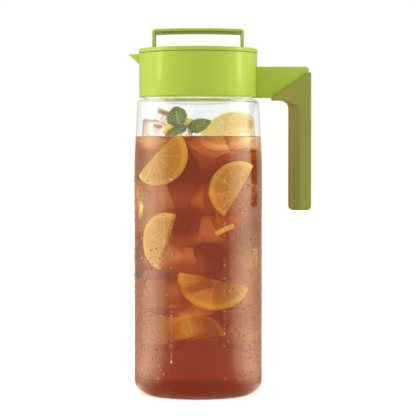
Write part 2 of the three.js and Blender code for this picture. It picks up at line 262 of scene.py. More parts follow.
def turned(corners, closed=True):
    """A bmesh turned about the jar's axis from a wire profile"""
    bm = bmesh.new()
    bevelled_wire(bm, corners, closed)
    spin(bm, (0, 0, 1), math.tau, TURN_STEPS, True)
    bmesh.ops.recalc_face_normals(bm, faces=bm.faces)
    return bm


def carried(corners, width):
    """A bmesh of a closed wire outline, carried across by a width to both sides of y = 0"""
    bm = bmesh.new()
    bevelled_wire(bm, corners, closed=True)
    bmesh.ops.translate(bm, verts=bm.verts, vec=(0, -width / 2, 0))
    front = bmesh.ops.contextual_create(bm, geom=bm.edges[:])["faces"]
    move_made(bm, bmesh.ops.extrude_face_region(bm, geom=front), (0, width, 0))
    bmesh.ops.recalc_face_normals(bm, faces=bm.faces)
    return bm


def hull_of(points):
    """A bmesh of the convex hull of points"""
    bm = bmesh.new()
    for point in points:
        bm.verts.new(point)
    bmesh.ops.convex_hull(bm, input=bm.verts[:])
    bmesh.ops.dissolve_limit(bm, angle_limit=0.01, verts=bm.verts[:], edges=bm.edges[:])
    bmesh.ops.recalc_face_normals(bm, faces=bm.faces)
    return bm


def merged(bms):
    """One bmesh that holds all of them"""
    whole = bmesh.new()
    for bm in bms:
        mesh = bpy.data.meshes.new("part")
        bm.to_mesh(mesh)
        bm.free()
        whole.from_mesh(mesh)
        bpy.data.meshes.remove(mesh)
    return whole


def object_from(name, bm, sharp_angle=35):
    """A linked object with its place in its mesh, smooth apart from its sharp edges"""
    mesh = bpy.data.meshes.new(name)
    bm.to_mesh(mesh)
    bm.free()
    mesh.shade_smooth()
    mesh.set_sharp_from_angle(angle=math.radians(sharp_angle))
    thing = bpy.data.objects.new(name, mesh)
    bpy.context.scene.collection.objects.link(thing)
    return thing


def modify(thing, kind, **values):
    """Puts a modifier on a piece"""
    modifier = thing.modifiers.new(kind, kind)
    for key, value in values.items():
        setattr(modifier, key, value)


def settle(thing, sharp_angle=35):
    """Applies a piece's modifiers to its mesh"""
    bpy.context.view_layer.update()
    graph = bpy.context.evaluated_depsgraph_get()
    mesh = bpy.data.meshes.new_from_object(thing.evaluated_get(graph), depsgraph=graph)
    thing.modifiers.clear()
    old = thing.data
    thing.data = mesh
    mesh.name = thing.name
    bpy.data.meshes.remove(old)
    mesh.shade_smooth()
    mesh.set_sharp_from_angle(angle=math.radians(sharp_angle))


def cut_away(thing, cutter):
    """Cuts one object out of another and removes the cutter"""
    modify(thing, "BOOLEAN", operation="DIFFERENCE", solver="EXACT", object=cutter)
    settle(thing)
    bpy.data.objects.remove(cutter)


def soften(thing, width, segments=3, angle=30):
    """Rounds a piece's sharp edges"""
    modify(
        thing,
        "BEVEL",
        width=width,
        segments=segments,
        limit_method="ANGLE",
        angle_limit=math.radians(angle),
        harden_normals=True,
    )
    settle(thing)


def dress(thing, material, body, replaces=()):
    """Gives a piece its material, its body and the nodes it stands for"""
    thing.data.materials.clear()
    thing.data.materials.append(material)
    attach(thing, body)
    for node in replaces:
        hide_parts(node)


# Node helpers


def feed(node, values):
    """Sets inputs of a node, each to a constant or from another node's output"""
    for label, value in values.items():
        socket = node.inputs[label]
        if isinstance(value, bpy.types.NodeSocket):
            node.id_data.links.new(value, socket)
        else:
            socket.default_value = value


def add(nodes, kind, values=None, **options):
    """A new node with its options and its inputs"""
    node = nodes.new(kind)
    for key, option in options.items():
        setattr(node, key, option)
    feed(node, values or {})
    return node


def maths(nodes, operation, *values, clamp=False):
    """The result of a calculation with numbers and outputs"""
    node = add(nodes, "ShaderNodeMath", dict(enumerate(values)), operation=operation)
    node.use_clamp = clamp
    return node.outputs["Value"]


def object_place(nodes):
    return add(nodes, "ShaderNodeTexCoord").outputs["Object"]


def axes_of(nodes, vector):
    return add(nodes, "ShaderNodeSeparateXYZ", {"Vector": vector}).outputs


def reach_of(nodes, vector):
    return add(nodes, "ShaderNodeVectorMath", {0: vector}, operation="LENGTH").outputs["Value"]


def noise_at(nodes, place, scale, detail=2.0):
    values = {"Vector": place, "Scale": scale, "Detail": detail}
    return add(nodes, "ShaderNodeTexNoise", values).outputs["Fac"]


def ranged(nodes, value, start, end, low=0.0, high=1.0):
    """A value's way from start to end, as a way from low to high"""
    values = {"Value": value, "From Min": start, "From Max": end, "To Min": low, "To Max": high}
    return add(nodes, "ShaderNodeMapRange", values).outputs["Result"]


def ramp(nodes, value, stops):
    """The colour that a value has between stops (position, colour)"""
    node = add(nodes, "ShaderNodeValToRGB", {"Fac": value})
    elements = node.color_ramp.elements
    while len(elements) < len(stops):
        elements.new(1)
    for element, (position, tint) in zip(elements, stops):
        element.position = position
        element.color = (*tint, 1)
    return node.outputs["Color"]


def blended(nodes, factor, below, above, **options):
    """One colour over another, or one number over another with data_type FLOAT"""
    options.setdefault("data_type", "RGBA")
    values = {"Factor": factor, "A": below, "B": above}
    return add(nodes, "ShaderNodeMix", values, **options).outputs["Result"]


def bumped(nodes, height, strength, distance):
    """The normal of a surface with relief"""
    values = {"Height": height, "Strength": strength, "Distance": distance}
    return add(nodes, "ShaderNodeBump", values).outputs["Normal"]


def crossed(nodes, factor, first, second):
    """Two shaders mixed"""
    return add(nodes, "ShaderNodeMixShader", {0: factor, 1: first, 2: second}).outputs["Shader"]


def group_tree(name, inputs, outputs):
    """An empty node group with inputs (a tuple stands for a vector) and float outputs"""
    tree = bpy.data.node_groups.new(name, "ShaderNodeTree")
    for label, default in inputs.items():
        kind = "NodeSocketVector" if isinstance(default, tuple) else "NodeSocketFloat"
        socket = tree.interface.new_socket(label, in_out="INPUT", socket_type=kind)
        socket.default_value = default
    for label in outputs:
        tree.interface.new_socket(label, in_out="OUTPUT", socket_type="NodeSocketFloat")
    return tree, tree.nodes.new("NodeGroupInput").outputs, tree.nodes.new("NodeGroupOutput")


def from_group(nodes, name, make, values=None):
    """The outputs of a node group, which is made the first time"""
    tree = bpy.data.node_groups.get(name) or make(name)
    return add(nodes, "ShaderNodeGroup", values, node_tree=tree).outputs


def moulded_skin(name):
    """Group: fine grain and slow unevenness of a moulded surface, in object coordinates"""
    inputs = {"Grain Scale": 900.0, "Patch Scale": 18.0, "Low": 0.3, "High": 0.4}
    tree, given, out = group_tree(name, inputs, ("Roughness", "Height"))
    place = object_place(tree.nodes)
    patch = noise_at(tree.nodes, place, given["Patch Scale"])
    values = {
        "Roughness": ranged(tree.nodes, patch, 0.3, 0.7, given["Low"], given["High"]),
        "Height": noise_at(tree.nodes, place, given["Grain Scale"]),
    }
    feed(out, values)
    return tree


def jar_zone(name):
    """Group: 1 within a radius of the jar's axis and between two heights, in object coordinates"""
    tree, given, out = group_tree(name, {"Radius": 0.05, "Low": 0.0, "High": 0.2}, ["Mask"])
    nodes = tree.nodes
    axes = axes_of(nodes, object_place(nodes))
    flat = add(nodes, "ShaderNodeCombineXYZ", {"X": axes["X"], "Y": axes["Y"]})
    near = maths(nodes, "LESS_THAN", reach_of(nodes, flat.outputs["Vector"]), given["Radius"])
    above = maths(nodes, "GREATER_THAN", axes["Z"], given["Low"])
    below = maths(nodes, "LESS_THAN", axes["Z"], given["High"])
    feed(out, {"Mask": maths(nodes, "MULTIPLY", maths(nodes, "MULTIPLY", near, above), below)})
    return tree


def zone_mask(nodes, bounds):
    """The mask of a zone given as (radius, low, high)"""
    values = dict(zip(("Radius", "Low", "High"), bounds))
    return from_group(nodes, "Jar Zone", jar_zone, values)["Mask"]


# Materials


def new_material(name):
    material = bpy.data.materials.new(name)
    material.use_nodes = True
    nodes = material.node_tree.nodes
    return material, nodes, nodes["Principled BSDF"]


def named_material(name, make):
    """The material of that name, made the first time"""
    return bpy.data.materials.get(name) or make(name)


def skin_material(name, base, grain, patch, rough, bump, dark, sheen=(1, 1, 1), shine=0.5):
    """An opaque moulded material with slight colour variation"""
    material, nodes, shader = new_material(name)
    inputs = {"Grain Scale": grain, "Patch Scale": patch, "Low": rough[0], "High": rough[1]}
    skin = from_group(nodes, "Moulded Skin", moulded_skin, inputs)
    tone = noise_at(nodes, object_place(nodes), patch)
    values = {
        "Base Color": ramp(nodes, tone, ((0.35, [c * dark for c in base]), (0.65, base))),
        "Roughness": skin["Roughness"],
        "Specular Tint": (*sheen, 1),
        "Specular IOR Level": shine,
        "Normal": bumped(nodes, skin["Height"], bump, 0.2 * MM),
    }
    feed(shader, values)
    return material


def let_lamps_in(nodes, shader, depth, trapped):
    """Lamplight passes straight through a clear surface; light trapped in it ends as a glow"""
    path = add(nodes, "ShaderNodeLightPath").outputs
    deep = maths(nodes, "GREATER_THAN", path["Ray Depth"], depth)
    glow = add(nodes, "ShaderNodeEmission", {"Color": (*trapped, 1)}).outputs["Emission"]
    ended = crossed(nodes, deep, shader.outputs["BSDF"], glow)
    gap = add(nodes, "ShaderNodeBsdfTransparent").outputs["BSDF"]
    surface = crossed(nodes, path["Is Shadow Ray"], ended, gap)
    feed(nodes["Material Output"], {"Surface": surface})


def clear_material(
    name, ior, rough, base=(1, 1, 1), absorbs=None, bump=0, shine=1, depth=8, trapped=(1, 1, 1)
):
    """A clear solid; absorbs is what it lets through and how much it takes away per metre"""
    material, nodes, shader = new_material(name)
    inputs = {"Grain Scale": 120 if bump else 900, "Low": rough[0], "High": rough[1]}
    skin = from_group(nodes, "Moulded Skin", moulded_skin, inputs)
    values = {
        "Base Color": (*base, 1),
        "Roughness": skin["Roughness"],
        "IOR": ior,
        "Transmission Weight": 1,
        "Specular Tint": (shine, shine, shine, 1),
    }
    feed(shader, values)
    if bump:
        feed(shader, {"Normal": bumped(nodes, skin["Height"], bump, 0.1 * MM)})
    if absorbs:
        values = {"Color": (*absorbs[0], 1), "Density": absorbs[1]}
        inside = add(nodes, "ShaderNodeVolumeAbsorption", values)
        feed(nodes["Material Output"], {"Volume": inside.outputs["Volume"]})
    let_lamps_in(nodes, shader, depth, trapped)
    return material


def green_plastic(name):
    green = bpy.context.scene.pitcher_finish.green
    return skin_material(name, green, 1400, 14, (0.15, 0.19), 0.03, 0.97, (1, 0.95, 0.6), 0.15)


def seal_rubber(name):
    rubber = bpy.context.scene.pitcher_finish.rubber
    return skin_material(name, rubber, 900, 30, (0.45, 0.55), 0.05, 0.95)


# Where the painted warm reflection of the tea on the grip's olive starts and where it is full, on
# the way to the jar
TEA_REFLECTION_START, TEA_REFLECTION_FULL = 84 * MM, 79 * MM


def olive_rubber(name):
    """Olive rubber with a painted warm reflection of the orange tea on the side of the jar"""
    finish = bpy.context.scene.pitcher_finish
    material = skin_material(name, finish.olive, 1100, 22, (0.52, 0.62), 0.12, 0.93)
    nodes = material.node_tree.nodes
    shader = nodes["Principled BSDF"]
    plain = shader.inputs["Base Color"].links[0].from_socket
    # Mask of the painted tea reflection, growing towards the jar
    tea_reflection = ranged(nodes, axes_of(nodes, object_place(nodes))["X"], TEA_REFLECTION_START, TEA_REFLECTION_FULL)
    feed(shader, {"Base Color": blended(nodes, tea_reflection, plain, (*finish.olive_tea_reflection, 1))})
    return material


def jar_plastic(name):
    """Clear plastic; its inner face hardly shines where the tea wets it"""
    scene = bpy.context.scene
    s, clear = scene.pitcher_sizes, scene.pitcher_finish.clear
    material = clear_material(name, 1.49, (0, 0.03), clear, ((0.55, 0.6, 0.6), 15), depth=5)
    nodes = material.node_tree.nodes
    wetted = (JAR_HIGH.x - s.jar_wall / 2, s.jar_floor / 2, scene.pitcher_tea.level)
    dim = ranged(nodes, zone_mask(nodes, wetted), 0, 1, 1, 0.1)
    feed(nodes["Principled BSDF"], {"Specular Tint": dim})
    return material


MATERIALS = {
    "clear_plastic": ("jar_plastic", jar_plastic),
    "green_plastic": ("pitcher_green", green_plastic),
    "olive_silicone": ("grip_olive", olive_rubber),
    "clear_silicone": ("seal_silicone", seal_rubber),
}


def stand_in(thing, body, slot, node):
    """Dresses a piece that stands for a node of the CAD"""
    dress(thing, named_material(*MATERIALS[slot]), body, [node])


# Pitcher pieces


class PITCHER_OT_jar(bpy.types.Operator):
    """Clear jar with rounded base, tapered top, shoulder and neck"""

    bl_idname = "pitcher.jar"
    bl_label = "Jar"

    def execute(self, context):
        s = context.scene.pitcher_sizes
        radius, top, wall, neck = JAR_HIGH.x, JAR_HIGH.z, s.jar_wall, s.neck_radius
        taper = s.shoulder_height - s.taper_length
        root = s.shoulder_height + 0.4 * MM
        profile = [
            (0, 0),
            (radius, 0, s.base_rounding, 14),
            (radius, taper, s.taper_rounding, 8),
            (s.shoulder_radius, s.shoulder_height, s.shoulder_rounding, 8),
            (neck, root, wall / 2, 4),
            (neck, top, wall / 4, 3),
            (neck - wall, top, wall / 4, 3),
            (neck - wall, root - wall, wall, 5),
            (s.shoulder_radius - wall, s.shoulder_height - wall, wall / 2, 5),
            (radius - wall, taper, s.taper_rounding, 8),
            (radius - wall, s.jar_floor, s.base_rounding - wall, 12),
            (0, s.jar_floor),
        ]
        jar = object_from("clear_jar", turned(profile, closed=False))
        spared = bpy.data.collections["spared_by_keys"]
        spared.objects.link(jar)
        spared.collection_objects[0].light_linking.link_state = "EXCLUDE"
        stand_in(jar, "pitcher", "clear_plastic", "jar")
        return {"FINISHED"}


def handle_solid(name, offset):
    """Arm and upright as one piece, its surface moved outwards by an offset"""
    s = bpy.context.scene.pitcher_sizes
    arm_top = COLLAR_HIGH.z - s.arm_drop
    arm_bottom = arm_top - s.arm_depth
    outer, bottom = COLLAR_HIGH.x, COLLAR_LOW.z
    inner = outer - s.upright_width
    root = s.collar_radius - s.collar_wall
    half, narrow = s.handle_thickness / 2, s.finger_face / 2
    outline = [
        (root, arm_bottom - offset),
        (inner - offset, arm_bottom - offset, s.inner_rounding - offset, 10),
        (inner - offset, bottom - offset, 1 * MM + offset, 4),
        (outer + offset, bottom - offset, 1 * MM + offset, 4),
        (outer + offset, arm_top + offset, 2.5 * MM + offset, 6),
        (root, arm_top + offset),
    ]
    body = object_from(name, carried(outline, 2 * (half + offset)))
    run, rise = s.crease, half - narrow
    start = inner - s.ridge_run + offset
    corner = inner - offset * (math.hypot(run, rise) - run) / rise
    plan = [
        (start, narrow + offset),
        (corner, narrow + offset),
        (corner + 2 * run, narrow + offset + 2 * rise),
        (start, narrow + offset + 2 * rise),
    ]
    drop = arm_bottom - offset * math.hypot(1, s.ridge_slope)
    for side in (-1, 1):
        points = []
        for x, y in plan:
            ridge = drop - s.ridge_slope * (x - inner + s.ridge_run)
            points += [(x, side * y, bottom - 2 * s.sleeve_offset), (x, side * y, ridge)]
        cut_away(body, object_from("wedge_cutter", hull_of(points)))
    return body


def beak_form(inwards, upwards):
    """The beak's closed V, moved in and up"""
    s = bpy.context.scene.pitcher_sizes
    tip = COLLAR_LOW.x + inwards
    root = inwards - s.collar_radius + s.collar_wall / 2
    lip = COLLAR_HIGH.z - s.beak_drop + upwards
    points = [(tip, -0.5 * MM, lip), (tip, 0.5 * MM, lip)]
    points += [(root, -s.beak_half_width, lip), (root, s.beak_half_width, lip)]
    return hull_of([*points, (root, 0, lip - s.beak_depth)])


class PITCHER_OT_collar(bpy.types.Operator):
    """Collar ring with its window, the pouring beak and the handle's core"""

    bl_idname = "pitcher.collar"
    bl_label = "Collar"

    def execute(self, context):
        s = context.scene.pitcher_sizes
        low, high = s.shoulder_height + 2.2 * MM, COLLAR_HIGH.z
        socket = s.neck_radius + s.fit_gap
        bore = s.collar_radius - s.collar_wall
        ledge_bore = bore - s.ledge_inset
        ledge_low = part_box("collar_gasket")[1].z + s.fit_gap
        ledge_high = ledge_low + s.ledge_thickness
        profile = [
            (socket, low, 0.4 * MM, 3),
            (s.collar_radius, low, s.collar_low_rounding, 6),
            (s.collar_radius, high, s.collar_high_rounding, 4),
            (bore, high, 0.4 * MM, 3),
            (bore, ledge_high, 1.2 * MM, 4),
            (ledge_bore, ledge_high, 0.4 * MM, 3),
            (ledge_bore, ledge_low),
            (socket, ledge_low),
        ]
        ring = object_from("collar_ring", turned(profile))
        sill = high - s.beak_drop - s.beak_depth + 1.5 * s.beak_wall
        head = high - 2.8 * MM
        wide = (head - sill) / s.beak_depth * s.beak_half_width
        window = hull_of(
            corner
            for x in (-s.collar_radius - s.beak_tip_wall, 2 * MM - ledge_bore)
            for corner in ((x, 0, sill), (x, -wide, head), (x, wide, head))
        )
        cut_away(ring, object_from("window_cutter", window))

        beak = object_from("pouring_beak", beak_form(0, 0))
        cut_away(beak, object_from("beak_cutter", beak_form(s.beak_tip_wall, s.beak_wall)))
        soften(beak, 0.2 * MM, 2, 25)

        core = handle_solid("handle_core", 0)
        soften(core, 0.4 * MM, 3, 25)
        for thing in (ring, beak, core):
            stand_in(thing, "pitcher", "green_plastic", "collar")
        return {"FINISHED"}


class PITCHER_OT_sleeve(bpy.types.Operator):
    """Soft olive sleeve over the handle's upright, with its slanted mouth"""

    bl_idname = "pitcher.sleeve"
    bl_label = "Grip sleeve"

    def execute(self, context):
        s = context.scene.pitcher_sizes
        outer = COLLAR_HIGH.x
        arm_bottom = COLLAR_HIGH.z - s.arm_drop - s.arm_depth
        low, high = outer - s.mouth_run, arm_bottom + s.mouth_rise
        sleeve = handle_solid("grip_sleeve_skin", s.sleeve_offset)
        cut_away(sleeve, handle_solid("core_cutter", s.fit_gap))
        above_mouth = [
            (0, arm_bottom - 2 * s.sleeve_offset),
            (low, arm_bottom - 2 * s.sleeve_offset),
            (low, arm_bottom),
            (outer, high),
            (outer + 2 * s.sleeve_offset, high),
            (outer + 2 * s.sleeve_offset, COLLAR_HIGH.z),
            (0, COLLAR_HIGH.z),
        ]
        cutter = carried(above_mouth, 2 * s.handle_thickness)
        cut_away(sleeve, object_from("mouth_cutter", cutter))
        modify(sleeve, "REMESH", mode="VOXEL", voxel_size=0.55 * MM, use_smooth_shade=True)
        modify(sleeve, "SMOOTH", iterations=28, factor=0.5)
        settle(sleeve, 180)
        sleeve.visible_glossy = False
        stand_in(sleeve, "pitcher", "olive_silicone", "grip_sleeve")
        return {"FINISHED"}


class PITCHER_OT_lid(bpy.types.Operator):
    """Cap, strap and plug of the lid"""

    bl_idname = "pitcher.lid"
    bl_label = "Lid"

    def cap(self, s):
        """Cap with a shallow dish above and a groove for its gasket below"""
        radius, low, high = CAP_HIGH.x, PLUG_HIGH.z + s.fit_gap, CAP_HIGH.z
        middle = s.collar_radius - s.collar_wall / 2
        groove, groove_depth = 1.1 * MM, 1.4 * MM
        profile = [
            (0, low),
            (middle - groove, low),
            (middle - groove, low + groove_depth),
            (middle + groove, low + groove_depth),
            (middle + groove, low),
            (radius, low, 0.3 * MM, 3),
            (radius, high, s.cap_edge, 6),
            (radius - s.cap_rim, high, 0.5 * MM, 3),
            (radius - s.cap_rim - s.cap_dish, high - s.cap_dish, 0.5 * MM, 3),
            (0, high - s.cap_dish),
        ]
        return object_from("lid_cap_disc", turned(profile, closed=False))

    def strap(self, s):
        """Crowned strap across the cap"""
        half, corner = STRAP_HIGH.x, s.strap_corner
        top = STRAP_HIGH.z - s.strap_crown
        foot = CAP_HIGH.z - s.cap_dish - 0.2 * MM
        band = bmesh.new()
        line = [(half, foot), (half, top, corner, 8), (-half, top, corner, 8), (-half, foot)]
        bevelled_wire(band, line)
        flat = [e for e in band.edges if abs(e.verts[0].co.z - e.verts[1].co.z) < 1e-6]
        bmesh.ops.subdivide_edges(band, edges=flat, cuts=23)
        for v in band.verts:
            if v.co.z > top - corner:
                v.co.z += s.strap_crown * (1 - (v.co.x / half) ** 2)
        bmesh.ops.translate(band, verts=band.verts, vec=(0, STRAP_LOW.y, 0))
        across = bmesh.ops.extrude_edge_only(band, edges=band.edges[:])
        move_made(band, across, (0, STRAP_HIGH.y - STRAP_LOW.y, 0))
        bmesh.ops.recalc_face_normals(band, faces=band.faces)
        if max(band.faces, key=lambda f: f.calc_center_median().z).normal.z < 0:
            bmesh.ops.reverse_faces(band, faces=band.faces)
        strap = object_from("lid_strap_band", band)
        modify(strap, "SOLIDIFY", thickness=s.strap_thickness, offset=-1)
        settle(strap)
        soften(strap, 0.4 * MM, 3, 40)
        return strap

    def plug(self, s):
        """Plug with its flange, closed drum, seal groove and slotted ice guard"""
        flange, top, foot = PLUG_HIGH.x, PLUG_HIGH.z, PLUG_LOW.z
        drum = s.neck_radius - s.jar_wall - 0.5 * MM
        groove_low, groove_high = NECK_SEAL_LOW.z - s.fit_gap, NECK_SEAL_HIGH.z + s.fit_gap
        groove_radius = drum - 2 * MM
        wall, edge = 2.2 * MM, 0.3 * MM
        deck, lip = top - 5 * MM, top - 2.5 * MM
        profile = [
            (0, deck - wall),
            (groove_radius - wall, deck - wall, 1 * MM, 4),
            (groove_radius - wall, foot, edge, 2),
            (drum, foot, edge, 2),
            (drum, groove_low),
            (groove_radius, groove_low),
            (groove_radius, groove_high),
            (drum, groove_high),
            (drum, deck - wall, 2 * MM, 5),
            (flange, lip, edge, 2),
            (flange, top, edge, 2),
            (flange - wall, top, edge, 2),
            (flange - wall, lip),
            (flange - wall - 5 * MM, deck),
            (0, deck),
        ]
        plug = object_from("lid_plug_drum", turned(profile, closed=False))
        slots = []
        for k in range(24):
            slot = bmesh.new()
            bmesh.ops.create_cube(slot, size=1)
            bmesh.ops.scale(slot, vec=(8 * MM, 5 * MM, 9 * MM), verts=slot.verts)
            spot = Vector((drum - 1.5 * MM, 0, foot + 2 * MM))
            bmesh.ops.translate(slot, vec=spot, verts=slot.verts)
            turn = Matrix.Rotation(math.tau * (k + 0.5) / 24, 3, "Z")
            bmesh.ops.rotate(slot, verts=slot.verts, cent=(0, 0, 0), matrix=turn)
            slots.append(slot)
        cut_away(plug, object_from("slot_cutter", merged(slots)))
        return plug

    def execute(self, context):
        s = context.scene.pitcher_sizes
        stand_in(self.cap(s), "lid", "green_plastic", "lid_cap")
        stand_in(self.strap(s), "lid", "green_plastic", "lid_strap")
        stand_in(self.plug(s), "lid", "green_plastic", "lid_plug")
        return {"FINISHED"}


class PITCHER_OT_seals(bpy.types.Operator):
    """Neck seal, cap gasket and collar gasket"""

    bl_idname = "pitcher.seals"
    bl_label = "Seals"

    def execute(self, context):
        s = context.scene.pitcher_sizes
        inner = s.neck_radius - s.jar_wall - 2.2 * MM
        low, high, outer = NECK_SEAL_LOW.z, NECK_SEAL_HIGH.z, NECK_SEAL_HIGH.x
        lip = (high - low) / 4
        inset = 0.6 * MM
        profile = [
            (inner, low),
            (outer - inset, low),
            (outer, low + lip, 0.3 * MM, 3),
            (outer - inset, low + 2 * lip),
            (outer, low + 3 * lip, 0.3 * MM, 3),
            (outer - inset, high),
            (inner, high),
        ]
        seal = object_from("neck_seal_ring", turned(profile), 20)
        stand_in(seal, "seals", "clear_silicone", "neck_seal")
        edge = 0.2 * MM
        for node, body, width in (("cap_gasket", "seals", 1.6), ("collar_gasket", "pitcher", 1.9)):
            lowest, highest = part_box(node)
            outer, inner = highest.x, highest.x - width * MM
            corners = ((inner, lowest.z), (outer, lowest.z), (outer, highest.z), (inner, highest.z))
            ring = object_from(f"{node}_ring", turned([(*corner, edge, 2) for corner in corners]))
            stand_in(ring, body, "clear_silicone", node)
        return {"FINISHED"}


# Contents

TEA_IOR, ICE_IOR = 1.333, 1.31


def jar_taper():
    """Height where the jar starts to taper, and how much radius it loses per height"""
    s = bpy.context.scene.pitcher_sizes
    return s.shoulder_height - s.taper_length, (JAR_HIGH.x - s.shoulder_radius) / s.taper_length


def keep_inside(bm, clearance):
    """Moves the points of a piece that would be in the jar's wall back inside it"""
    taper, lean = jar_taper()
    wall = bpy.context.scene.pitcher_sizes.jar_wall
    for v in bm.verts:
        limit = JAR_HIGH.x - wall - lean * max(0, v.co.z - taper) - clearance
        out = math.hypot(v.co.x, v.co.y)
        if out > limit:
            v.co.x, v.co.y = v.co.x * limit / out, v.co.y * limit / out


# Ice at the surface: centre in millimetres, turns about X, Y and Z, and size share
FLOATING_ICE = (
    ((-33, -13, 216), (8, 6, 25), 1.0),
    ((-24, 20, 219), (50, 10, 60), 1.0),
    ((35, -9, 216), (-6, 12, 55), 1.0),
    ((28, 21, 219), (70, 20, 40), 1.0),
    ((2, 31, 214), (35, 15, 75), 0.95),
    ((-30, -16, 232), (30, 20, 10), 0.42),
    ((39, 6, 223), (20, 35, 10), 0.6),
)
# Seed of the noise that wears the ice, which Blender would otherwise take from the clock
WEAR_SEED = 1796048631
# Ice below: azimuths and how far they vary, then in millimetres the reach from the axis,
# the step from ring to ring and how far heights vary
RING_AZIMUTHS, RING_SWING = (-85, 85, 0, 180), 30
RING_REACH, RING_STEP, RING_SWAY = (23, 30), 29, 9


def ice_places():
    """Place, turns and size share of every cube: those at the surface and rings of four below"""
    tea = bpy.context.scene.pitcher_tea
    draw = random.Random(tea.ice_seed)
    places = list(FLOATING_ICE)
    for ring in range(tea.ice_rings):
        for azimuth in RING_AZIMUTHS:
            angle = math.radians(azimuth + draw.uniform(-RING_SWING, RING_SWING))
            reach = draw.uniform(*RING_REACH)
            height = tea.ice_bottom / MM + RING_STEP * ring + draw.uniform(-RING_SWAY, RING_SWAY)
            centre = (reach * math.sin(angle), -reach * math.cos(angle), height)
            turns = tuple(draw.uniform(0, 90) for _ in range(3))
            places.append((centre, turns, draw.uniform(0.85, 1.1)))
    return places


def ice_mesh(place, seed):
    """A worn ice cube with rounded edges and uneven faces, put in the jar"""
    centre, turns, part = place
    size = bpy.context.scene.pitcher_tea.ice_size * part
    bm = bmesh.new()
    bmesh.ops.create_cube(bm, size=size)
    bmesh.ops.bevel(
        bm,
        geom=bm.verts[:] + bm.edges[:],
        offset=size * 0.13,
        segments=3,
        profile=0.5,
        affect="EDGES",
        material=-1,
    )
    bmesh.ops.triangulate(bm, faces=bm.faces[:])
    bmesh.ops.subdivide_edges(bm, edges=bm.edges[:], cuts=1, use_grid_fill=True)
    noise.seed_set(WEAR_SEED)
    for v in bm.verts:
        shift = noise.noise_vector(v.co / size * 2 + Vector((seed * 7.3, 0, 0)))
        v.co += shift * size * 0.05
    x, y, z = turns
    bmesh.ops.transform(bm, matrix=place_facing(centre, z, y, x), verts=bm.verts)
    keep_inside(bm, 3 * MM)
    bmesh.ops.recalc_face_normals(bm, faces=bm.faces)
    return bm


def tea_material(name):
    """Tea; within a zone that leaves out its own skin and sole, its faces are those of the ice"""
    scene = bpy.context.scene
    s, tea = scene.pitcher_sizes, scene.pitcher_tea
    material = clear_material(
        name,
        TEA_IOR,
        (0, 0.01),
        absorbs=(tea.tint, tea.strength),
        shine=0.1,
        depth=10,
        trapped=(0.7, 0.38, 0.12),
    )
    nodes = material.node_tree.nodes
    skin, sole, film = 1.6 * MM, 20 * MM, 0.05 * MM
    iced = (JAR_HIGH.x - s.jar_wall + tea.overlap - skin, sole, tea.level - film)
    mask = zone_mask(nodes, iced)
    values = {
        "IOR": ranged(nodes, mask, 0, 1, TEA_IOR, TEA_IOR / ICE_IOR),
        "Base Color": blended(nodes, mask, (1, 1, 1, 1), (*tea.ice_tint, 1)),
    }
    feed(nodes["Principled BSDF"], values)
    return material


class PITCHER_OT_tea(bpy.types.Operator):
    """Tea that fills the jar to its level, with a hollow wherever an ice cube is"""

    bl_idname = "pitcher.tea"
    bl_label = "Tea"

    def execute(self, context):
        s, tea = context.scene.pitcher_sizes, context.scene.pitcher_tea
        radius = JAR_HIGH.x - s.jar_wall + tea.overlap
        floor = s.jar_floor - tea.overlap
        taper, lean = jar_taper()
        top_radius = radius - lean * (tea.level - taper)
        profile = [
            (0, floor),
            (radius, floor, s.base_rounding - s.jar_wall, 12),
            (radius, taper, s.taper_rounding, 8),
            (top_radius, tea.level + tea.meniscus),
            (top_radius - 1.5 * MM, tea.level, 3 * MM, 5),
            (0, tea.level),
        ]
        body = object_from("tea_fill", turned(profile, closed=False), 30)
        cubes = bpy.data.collections.new("ice_cutters")
        for k, place in enumerate(ice_places()):
            cubes.objects.link(object_from("ice_cutter", ice_mesh(place, k)))
        modify(
            body,
            "BOOLEAN",
            operation="DIFFERENCE",
            solver="MANIFOLD",
            operand_type="COLLECTION",
            collection=cubes,
        )
        settle(body, 30)
        for cube in cubes.objects[:]:
            bpy.data.objects.remove(cube)
        bpy.data.collections.remove(cubes)
        dress(body, named_material("tea", tea_material), "pitcher")
        return {"FINISHED"}


# Each slice: name, centre in millimetres, turn, bank, lean, arc in degrees and size share
SLICES = (
    ("slice_upper_left", (-32, -27.5, 200.5), -25, 136, 0, 180, 0.97),
    ("slice_upper_right", (32, -29, 171), 20, -58, 0, 180, 0.93),
    ("slice_middle_left", (-25, -34.5, 129), -43, -72, 0, 180, 0.92),
    ("slice_bowl", (12, -20, 97.5), 0, -166, 30, 180, 1.0),
    ("slice_wedge", (-3, -18, 48.5), 0, -8, -12, 180, 0.83),
    ("slice_sliver", (14.5, -25, 134), 90, 0, 63, 180, 0.55),
    ("slice_edge_left", (-43.5, -8, 168), -107, -150, 0, 180, 0.8),
    ("slice_edge_right", (44, -10, 115), 107, 75, 0, 180, 0.28),
    ("slice_floating", (23, 7, 223), 0, -24.5, -56, 360, 0.96),
    ("slice_lying", (-16, -14, 222), 0, -18, 80, 180, 0.55),
    ("slice_back_high", (24, 34, 150), 215, 120, -14, 180, 1.0),
    ("slice_back_middle", (-24, 33, 110), 150, 80, 10, 180, 1.0),
)
FLESH_EDGE = 0.84
RING_SHARES = (0.1, 0.35, 0.6, FLESH_EDGE, 0.92, 0.97, 1.0)


